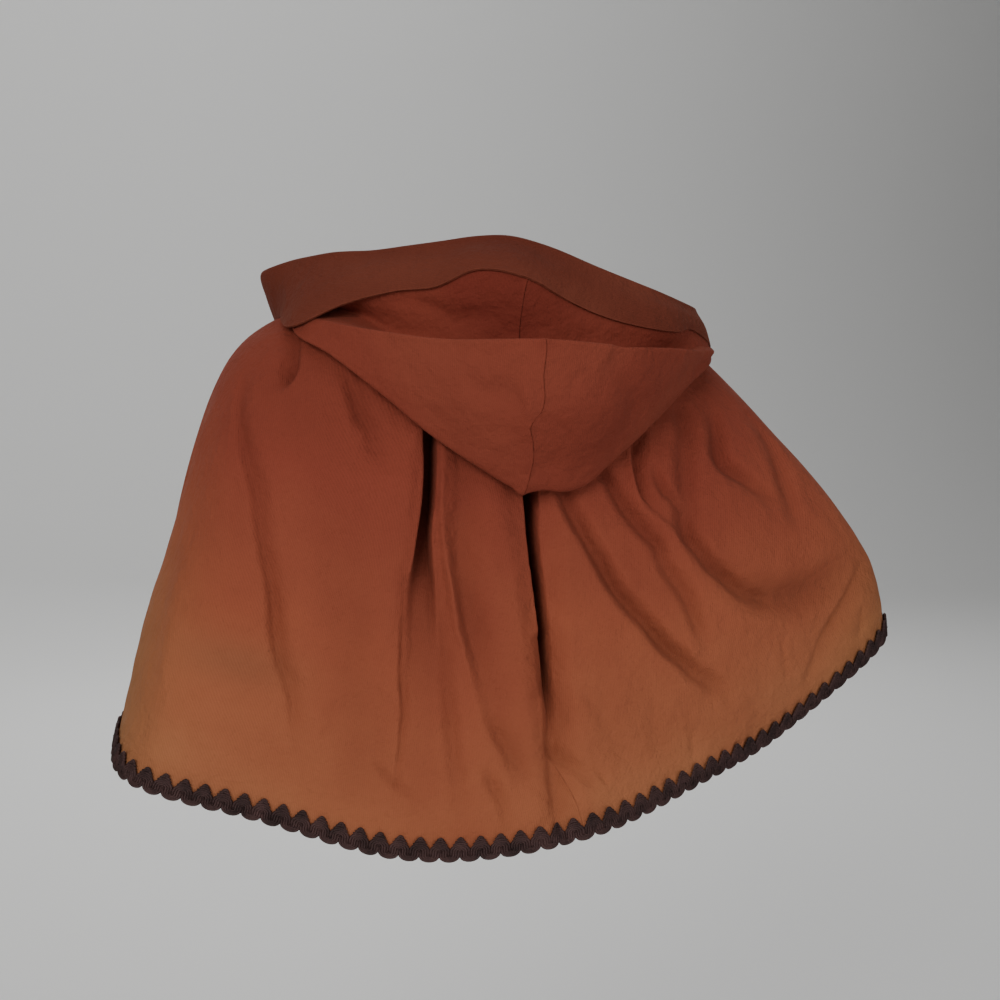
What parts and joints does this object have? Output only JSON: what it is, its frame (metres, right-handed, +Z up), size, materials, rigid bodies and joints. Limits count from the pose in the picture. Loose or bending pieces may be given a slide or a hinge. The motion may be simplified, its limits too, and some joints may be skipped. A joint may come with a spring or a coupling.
{
  "type": "hooded capelet",
  "caption": "Elbow-length hooded capelet in rust to ochre cloth, hood pushed back with its face edge turned out as a cuff, scroll braid round the hem, hook and eye at the throat.",
  "frame": {"origin": "middle of the neck seam at the height of its back, where the wearer's neck and shoulders carry it", "axes": "+Z up, -Y the way the wearer faces, +X the wearer's left"},
  "size_m": [0.7236, 0.4658, 0.5111],
  "materials": {
    "cape_cloth": "matt ribbed cotton, dyed from rust to ochre",
    "hood_cloth": "matt ribbed cotton, rust",
    "band_cloth": "matt ribbed cotton, rust, ribs along the band",
    "gimp_braid": "corded scroll gimp, satin",
    "fastening_metal": "blackened wire"
  },
  "bodies": {
    "root": {"cape_left": "cape_cloth", "cape_right": "cape_cloth", "hood_left": "hood_cloth", "hood_right": "hood_cloth", "hood_band_left": "band_cloth", "hood_band_right": "band_cloth", "hem_braid_left": "gimp_braid", "hem_braid_right": "gimp_braid", "front_hook": "fastening_metal", "front_eye": "fastening_metal"}
  },
  "joints": []
}
